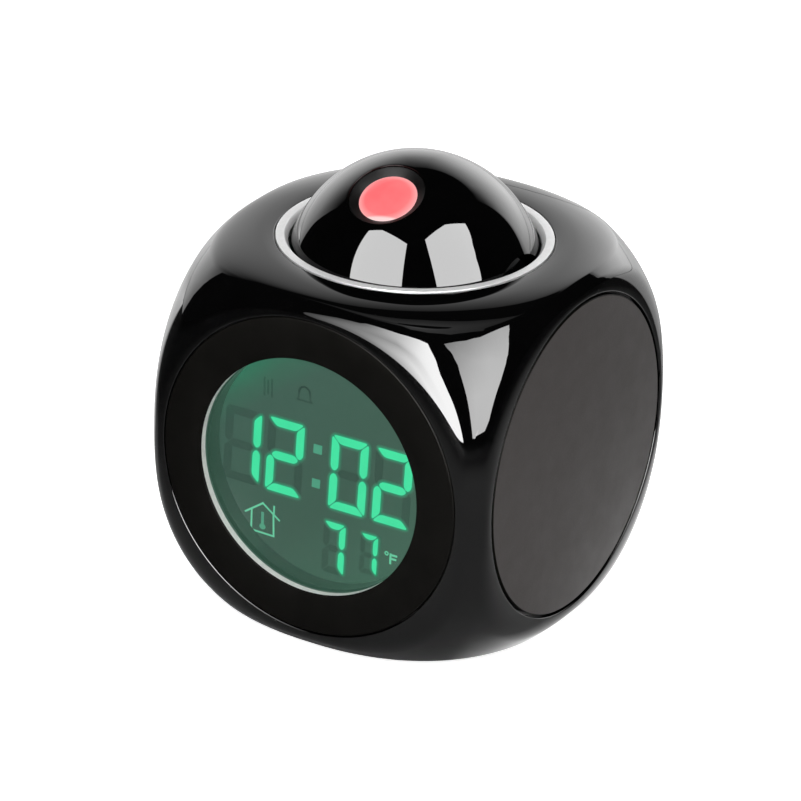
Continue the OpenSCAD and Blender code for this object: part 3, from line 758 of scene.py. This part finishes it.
# ---- side, rear and base discs ---------------------------------------------------------
DISC_EDGE, DISC_BACK, DISC_FRONT = 0.3, HALF - DISC_T + 0.02, HALF - 0.05
disc_profile = ([(0, DISC_BACK), (0, DISC_FRONT)]
                + arc(DISC_R - DISC_EDGE, DISC_FRONT - DISC_EDGE, DISC_EDGE, 90, 0, 6)
                + [(DISC_R, DISC_BACK)])
for name, matrix, node in (("right_disc", RIGHT, "side_panel_right"),
                           ("left_disc", LEFT, "side_panel_left")):
    disc = link(name, placed(lathe(disc_profile, closed=False), matrix), "disc_grey", replaces=(node,))
    # The disc's rounded edge and side take the front ring's near-black: painted shade that keeps the groove
    # round the disc dark.
    disc.data.materials.append(MAT["bezel_black"])
    for face in disc.data.polygons:
        if abs(face.normal.x) < 0.97:
            face.material_index = 1
for node, width in (("rear_panel", 0.22), ("base_panel", 0.2), ("battery_door", 0.35), ("key_mode", 0.5),
                    ("key_set", 0.5), ("key_up", 0.5), ("key_down", 0.5), ("projection_knob", 0.18),
                    ("case_screws", 0.15), ("feet", 0.18)):
    dressed(node, width)

# ---- top ring -----------------------------------------------------------------------------
# Its flat rim, the sloping inner wall with its lip, and the collar below that sits in the case.
RIM_R, LIP_R, COLLAR_R, COLLAR_OUT_R, COLLAR_Z = 26.85, 25.92, 27.15, 27.5, -4.6
ring_profile = ([(RING_R, -RING_T)] + arc(RING_R - 0.1, -0.1, 0.1, 0, 90, 4)
                + arc(RIM_R, -0.12, 0.12, 90, 145, 4)
                + [(LIP_R + 0.03, -1.2), (LIP_R, -1.3), (LIP_R + 0.08, -1.44), (COLLAR_R, -1.6)]
                + [(COLLAR_R, COLLAR_Z), (COLLAR_OUT_R, COLLAR_Z), (COLLAR_OUT_R, -RING_T)])
link("silver_ring", placed(lathe(ring_profile, 256), Matrix.Translation((0, 0, RING_Z))), "ring_silver",
     replaces=("top_ring",))

# ---- ball -----------------------------------------------------------------------------------
TILT = Matrix.Translation((0, 0, BALL_Z)) @ Matrix.Rotation(LEAN, 4, "X")
inner_r = BALL_R - BALL_WALL
hole_a = degrees(asin(LENS_HOLE_R / BALL_R))
seat_a = degrees(asin(LENS_SEAT_R / inner_r))
edge_z = BALL_R * cos(radians(hole_a))
ball_profile = ([(0, -BALL_R)] + arc(0, 0, BALL_R, -89, 90 - hole_a - 0.6, 150)
                + [(LENS_HOLE_R + 0.06, edge_z - 0.04), (LENS_HOLE_R, edge_z - 0.2)]
                + [(LENS_HOLE_R, LENS_SEAT_Z), (LENS_SEAT_R, LENS_SEAT_Z)]
                + arc(0, 0, inner_r, 90 - seat_a, -89, 90) + [(0, -inner_r)])
ball_bm = placed(lathe(ball_profile, 256, closed=False), TILT)
sliced(ball_bm, (0, 0, BALL_Z), (0, 0, -1), clear_outer=True)
for side in (1, -1):
    rim = sliced(ball_bm, (side * BALL_FLAT_X, 0, 0), (side, 0, 0), clear_outer=True)
    bmesh.ops.edgenet_fill(ball_bm, edges=rim)
link("ball_shell", ball_bm, "case_black", body="ball", replaces=("ball_top",))
plastic("barrel_black", (0.005, 0.005, 0.005), 0.4, bump=0.2, scale=2000, shine=0.06)
TUBE_R, TUBE_OUT_R, TUBE_Z, RIM_OUT_R, RIM_TOP_Z = 5.4, 6.9, 11.5, 7.95, 25.18
barrel_profile = ([(TUBE_R, TUBE_Z), (TUBE_OUT_R, TUBE_Z)]
                  + [(TUBE_OUT_R, LENS_SEAT_Z), (RIM_OUT_R, LENS_SEAT_Z)]
                  + arc(RIM_OUT_R - 0.12, RIM_TOP_Z, 0.12, 0, 120, 6)
                  + [(LENS_R + 0.15, 24.32), (LENS_R, 24.22), (LENS_R, LENS_Z), (TUBE_R, LENS_Z)])
link("focus_tube", placed(lathe(barrel_profile, 128), TILT), "barrel_black", body="ball",
     replaces=("lens_barrel",))


def dome(r):
    """Height of the lens's front at a distance from its axis."""
    return LENS_Z + LENS_H - LENS_DOME + sqrt(LENS_DOME ** 2 - r * r)


lens_profile = ([(0, LENS_Z), (LENS_R, LENS_Z), (LENS_R, dome(LENS_R) - 0.12)]
                + [(r, dome(r)) for r in (LENS_R - 0.1, 5, 4, 3, 2, 1, 0)])
link("lens_dome", placed(lathe(lens_profile, 128, closed=False), TILT), "lens_red", body="ball",
     replaces=("proj_lens",))


# ---- spring under the ball ----------------------------------------------------------------------
def coil(lo, hi, turns, n=64, around=12):
    """Wire wound round +Z, its middle rising from lo to hi, with flat ends."""
    bm = bmesh.new()
    section = [(SPRING_R + WIRE_R * cos(2 * pi * k / around), WIRE_R * sin(2 * pi * k / around))
               for k in range(around)]
    rings = []
    for i in range(turns * n + 1):
        c, s = cos(2 * pi * i / n), sin(2 * pi * i / n)
        rise = lo + (hi - lo) * i / (turns * n)
        rings.append([bm.verts.new((r * c, r * s, rise + z)) for r, z in section])
    for a, b in zip(rings, rings[1:]):
        for k in range(around):
            j = (k + 1) % around
            bm.faces.new((a[k], a[j], b[j], b[k]))
    bm.faces.new(rings[0][::-1])
    bm.faces.new(rings[-1])
    return bm


END_GAP = WIRE_R + 0.02
spring = link("press_spring", coil(SPRING_LO + END_GAP, SPRING_HI - END_GAP, SPRING_TURNS), "steel",
              body="plunger", replaces=("return_spring",))
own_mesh(spring)

# ---- camera -----------------------------------------------------------------------------------
CAM_AZ, CAM_EL, CAM_ROLL = radians(30.95), radians(25.3), radians(1.47)
CAM_DIST, AIM_Z, AIM_ASIDE = 1066.2, 40.79, -2.13
FOCAL_PX, FRAME_PX, SENSOR = 5137.3, 801, 36
back = Vector((sin(CAM_AZ) * cos(CAM_EL), -cos(CAM_AZ) * cos(CAM_EL), sin(CAM_EL)))
level = Vector((cos(CAM_AZ), sin(CAM_AZ), 0))
upright = back.cross(level)
aim = Vector((0, 0, AIM_Z)) + level * AIM_ASIDE
cam_x = level * cos(CAM_ROLL) + upright * sin(CAM_ROLL)
cam_y = -level * sin(CAM_ROLL) + upright * cos(CAM_ROLL)
cam_data = bpy.data.cameras.new("camera")
cam_data.sensor_width = SENSOR
cam_data.lens = FOCAL_PX * SENSOR / FRAME_PX
cam_data.clip_start, cam_data.clip_end = 0.01, 50
cam = bpy.data.objects.new("camera", cam_data)
bpy.context.scene.collection.objects.link(cam)
cam_place = Matrix((cam_x, cam_y, back)).transposed().to_4x4()
cam_place.translation = (aim + back * CAM_DIST) * MM
cam.matrix_world = cam_place
bpy.context.scene.camera = cam


# ---- studio --------------------------------------------------------------------------------------
def stage_mesh(name, verts, faces, material):
    """Piece of the studio from millimetre geometry."""
    me = bpy.data.meshes.new(name)
    me.from_pydata([[c * MM for c in v] for v in verts], [], faces)
    o = bpy.data.objects.new(name, me)
    bpy.context.scene.collection.objects.link(o)
    me.materials.append(material)
    return o


def light_material(name, other):
    """Clear emitter: its reflections take the strength written on its points, its light another one."""
    nt, b = new_material(name)
    nt.nodes.remove(b)
    lp = nt.nodes.new("ShaderNodeLightPath")
    at = nt.nodes.new("ShaderNodeAttribute")
    at.attribute_name = "glow"
    strength = nt.nodes.new("ShaderNodeMix")
    strength.inputs[2].default_value = other
    nt.links.new(lp.outputs["Is Glossy Ray"], strength.inputs[0])
    nt.links.new(at.outputs["Fac"], strength.inputs[3])
    em = nt.nodes.new("ShaderNodeEmission")
    nt.links.new(strength.outputs[0], em.inputs["Strength"])
    tr = nt.nodes.new("ShaderNodeBsdfTransparent")
    both = nt.nodes.new("ShaderNodeAddShader")
    nt.links.new(em.outputs["Emission"], both.inputs[0])
    nt.links.new(tr.outputs["BSDF"], both.inputs[1])
    nt.links.new(both.outputs["Shader"], nt.nodes["Material Output"].inputs["Surface"])


def lamp_sheet(name, centre, dist, columns, other, rows=16):
    """Curved emitter round a centre: each column is a line of (azimuth, elevation, strength) stops."""
    verts, glow, faces = [], [], []
    for column in columns:
        stops = np.array(column, float)
        at = np.linspace(0, len(stops) - 1, rows)
        for az, el, strength in zip(*(np.interp(at, range(len(stops)), stops[:, i]) for i in range(3))):
            az, el = radians(az), radians(el)
            verts.append(Vector(centre) + Vector((sin(az) * cos(el), -cos(az) * cos(el), sin(el))) * dist)
            glow.append(strength)
    for i in range(len(columns) - 1):
        for j in range(rows - 1):
            k = i * rows + j
            faces.append((k, k + 1, k + rows + 1, k + rows))
    light_material(name, other)
    o = stage_mesh(name, verts, faces, MAT[name])
    o.data.attributes.new("glow", "FLOAT", "POINT").data.foreach_set("value", glow)
    o.visible_camera = False
    return o


def shine_on(lamp, objects, only=True):
    """Light linking: the lamp reaches only these objects, or all but these."""
    group = bpy.data.collections.new(lamp.name + "_on")
    for o in objects:
        group.objects.link(o)
    for entry in group.collection_objects:
        entry.light_linking.link_state = "INCLUDE" if only else "EXCLUDE"
    lamp.light_linking.receiver_collection = group


ball_pieces = [o for o in bpy.data.objects if o.name in ("ball_shell", "focus_tube", "lens_dome")]
BALL_C = (0, 0, BALL_Z)
CORNER = (28, -36, 70)              # the right top corner of the case's front
SHEET_DIST, SWEEP_DIST = 700, 1100
SHINE = 24.0                        # of the ball's soft boxes in reflections
LIGHT, CEILING_LIGHT, SWEEP_LIGHT = 1.1, 1.9, 0.36    # strengths other than in reflections
BALL_LEFT = [[(-24, -4, SHINE), (-38, 50, SHINE)],
             [(-12, -4, SHINE), (-23, 57, SHINE)],
             [(2, -4, SHINE), (0, 57, SHINE)],
             [(20, -4, SHINE), (20, 53, SHINE)]]
BALL_RIGHT = [[(54, -4, SHINE), (46, 57, SHINE)],
              [(62, -4, SHINE), (65, 62, SHINE)],
              [(78, -4, SHINE), (90, 63, SHINE)],
              [(91, -4, SHINE), (96, 28, SHINE), (101, 38, SHINE), (115, 52, SHINE)]]
CASE_LEFT = [[(-30, -5, 2), (-38, 46, 2)],
             [(-20, -5, 8), (-22, 10, 8), (-26, 54, 6)],
             [(0, -5, 38), (0, 15, 30), (0, 38, 14), (0, 57, 20)],
             [(22, -5, 38), (20, 20, 38), (20, 56.7, 31)],
             [(46, -3, 38), (42.4, 20, 38), (39, 33, 38), (35.5, 45, 38), (29, 54.8, 38)]]
CASE_RIGHT = [[(57.5, -1, 20), (56, 19, 19), (54, 34, 16), (51, 48, 12), (45, 54.5, 8)],
              [(58.5, -1, 20), (62, 20, 21), (64, 40, 17), (63, 54.5, 11)],
              [(59, -1, 20), (73, 20, 21), (80, 38, 20), (83, 52, 14)],
              [(59.5, 0, 20), (76, 13, 21), (90, 30, 20), (104, 48.7, 16)],
              [(60, 0, 20), (75, 4, 20), (88, 20, 20), (93, 33, 19), (104, 42, 18), (112, 46, 15)]]
CEILING = [[(-210, 56, 0.3), (-210, 80, 0.9)], [(-150, 56, 0.3), (-150, 80, 1.1)],
           [(-90, 56, 0.2), (-90, 80, 0.9)], [(-45, 58, 0.2), (-45, 80, 0.5)],
           [(-20, 61, 0.5), (-20, 80, 1.0)], [(10, 62, 1.3), (10, 80, 2.4)],
           [(30, 62, 1.2), (30, 80, 1.8)], [(55, 60, 0.9), (55, 80, 1.2)],
           [(90, 54, 0.6), (90, 80, 1.0)], [(150, 52, 0.3), (150, 80, 0.9)]]
for name, columns in (("softbox_ball_left", BALL_LEFT), ("softbox_ball_right", BALL_RIGHT)):
    shine_on(lamp_sheet(name, BALL_C, SHEET_DIST, columns, LIGHT), ball_pieces)
for name, columns, other in (("softbox_left", CASE_LEFT, LIGHT), ("softbox_right", CASE_RIGHT, LIGHT),
                             ("ceiling_glow", CEILING, CEILING_LIGHT)):
    shine_on(lamp_sheet(name, CORNER, SHEET_DIST, columns, other), ball_pieces, only=False)

# The lit sweep behind: an azimuth, then its strengths at the elevations of SWEEP_EL.
SWEEP_EL = (-4, 4, 12, 18, 24, 30, 36, 42)
SWEEP = ((-105, 1.9, 2.0, 2.1, 1.7, 1.1, 0.5, 0.1, 0), (-115, 2.1, 2.2, 2.4, 2.1, 1.6, 1.1, 0.5, 0),
         (-125, 2.1, 2.2, 2.4, 2.2, 1.7, 1.1, 0.5, 0), (-135, 1.8, 1.9, 2.1, 1.9, 1.5, 1.0, 0.5, 0.1),
         (-145, 1.6, 1.6, 1.7, 1.5, 1.1, 0.75, 0.45, 0.2), (-155, 1.6, 1.7, 1.9, 1.8, 1.4, 1.1, 0.6, 0.2),
         (-165, 2.0, 2.4, 2.9, 2.9, 2.6, 1.9, 1.2, 0.4), (-175, 2.2, 3.3, 3.6, 3.6, 3.3, 2.6, 1.7, 0.5),
         (-185, 2.3, 3.6, 4.0, 3.9, 3.5, 2.8, 1.9, 0.3), (-195, 2.2, 3.5, 3.9, 3.7, 3.2, 2.3, 1.0, 0),
         (-203, 2.2, 3.1, 3.4, 3.1, 2.3, 1.0, 0.2, 0))
EDGE_LEFT = [(-99, -4, 1.2), (-97, 10, 1.5), (-94, 20, 0.9), (-92, 30, 0)]
EDGE_RIGHT = [(-209, -4, 1.0), (-209, 4, 1.4), (-207, 12, 1.1), (-205.5, 18, 0.5), (-204, 26, 0)]
sweep = [[(az, el, strength) for el, strength in zip(SWEEP_EL, strengths)] for az, *strengths in SWEEP]
lamp_sheet("sweep", BALL_C, SWEEP_DIST, [EDGE_LEFT] + sweep + [EDGE_RIGHT], SWEEP_LIGHT, rows=29)


def floor_material():
    """White table: lit plainly, and white to the camera. In reflections it takes painted shade that darkens
    it with distance, a painted shadow of the clock, and a painted glow towards the sweep."""
    nt, b = new_material("floor")
    b.inputs["Roughness"].default_value = 0.9
    b.inputs["Specular IOR Level"].default_value = 0.1
    b.inputs["Emission Color"].default_value = (1, 1, 1, 1)
    tc = nt.nodes.new("ShaderNodeTexCoord")
    lp = nt.nodes.new("ShaderNodeLightPath")

    def away(x, y, stops):
        """Brightness by the distance in metres from a point of the table."""
        far = vector_maths(nt, "DISTANCE", tc.outputs["Object"], (x, y, 0), "Value")
        return ramp(nt, far, [(at, grey(v)) for at, v in stops])

    def beyond(az, side, stops):
        """Brightness by the distance in metres from the line through the middle towards an azimuth.
        A ramp starts at 0, so it takes the distance plus a shift."""
        shift = 0.1
        across = (side * cos(radians(az)), side * sin(radians(az)), 0)
        dot = vector_maths(nt, "DOT_PRODUCT", tc.outputs["Object"], across, "Value")
        return ramp(nt, maths(nt, "ADD", dot, shift), [(at + shift, grey(v)) for at, v in stops])

    def times(x, y):
        return maths(nt, "MULTIPLY", x, y)

    # In reflections the table's colour darkens with distance from a point by the clock's front right:
    # painted shade.
    base = nt.nodes.new("ShaderNodeMix")
    base.data_type = "RGBA"
    base.inputs[6].default_value = grey(0.86)
    nt.links.new(lp.outputs["Is Glossy Ray"], base.inputs[0])
    nt.links.new(away(0.09, -0.06, [(0.09, 0.66), (0.14, 0.5), (0.2, 0.17), (0.25, 0.03)]), base.inputs[7])
    nt.links.new(base.outputs[2], b.inputs["Base Color"])
    # In reflections the table glows towards the sweep though it is no lamp: painted light in the sector
    # between these azimuths.
    left = beyond(-105, -1, [(-0.022, 0), (-0.008, 1), (0.05, 1), (0.12, 0.62)])
    right = maths(nt, "MAXIMUM", beyond(-207, 1, [(-0.014, 0), (-0.009, 1)]),
                  beyond(-192, 1, [(-0.044, 0), (-0.040, 1)]))
    sides = maths(nt, "MAXIMUM", beyond(-165, -1, [(0, 0.65), (0.1, 1)]),
                  beyond(-140, 1, [(0, 0.65), (0.1, 0.95)]))
    painted_glow_sector = times(times(left, right), sides)
    # Painted shadow of the clock in the table's reflected glow, darkest just behind it.
    painted_clock_shadow = away(-0.075, 0.13, [(0.05, 0.25), (0.15, 0.6), (0.6, 0.9), (1, 1.1)])
    reach = times(painted_clock_shadow, away(0, 0, [(0.98, 1), (1.0, 0)]))
    glow = times(times(painted_glow_sector, reach), times(lp.outputs["Is Glossy Ray"], 3.3))
    to_camera = times(lp.outputs["Is Camera Ray"], 0.85)
    nt.links.new(maths(nt, "ADD", glow, to_camera), b.inputs["Emission Strength"])


floor_material()
FLOOR = 4000    # half its width
stage_mesh("floor", [(-FLOOR, -FLOOR, 0), (FLOOR, -FLOOR, 0), (FLOOR, FLOOR, 0), (-FLOOR, FLOOR, 0)],
           [(0, 1, 2, 3)], MAT["floor"])


def white_world():
    """White to the camera, soft light on the pieces and almost dark in their reflections."""
    world = bpy.data.worlds.new("world")
    bpy.context.scene.world = world
    world.use_nodes = True
    nt = world.node_tree
    bg = nt.nodes["Background"]
    bg.inputs["Color"].default_value = (1, 1, 1, 1)
    lp = nt.nodes.new("ShaderNodeLightPath")
    lit = nt.nodes.new("ShaderNodeMix")
    lit.inputs[2].default_value = 0.24
    lit.inputs[3].default_value = 0.012
    seen = nt.nodes.new("ShaderNodeMix")
    seen.inputs[3].default_value = 1.0
    nt.links.new(lp.outputs["Is Glossy Ray"], lit.inputs[0])
    nt.links.new(lit.outputs[0], seen.inputs[2])
    nt.links.new(lp.outputs["Is Camera Ray"], seen.inputs[0])
    nt.links.new(seen.outputs[0], bg.inputs["Strength"])


white_world()

bpy.context.scene.view_settings.view_transform = "Standard"
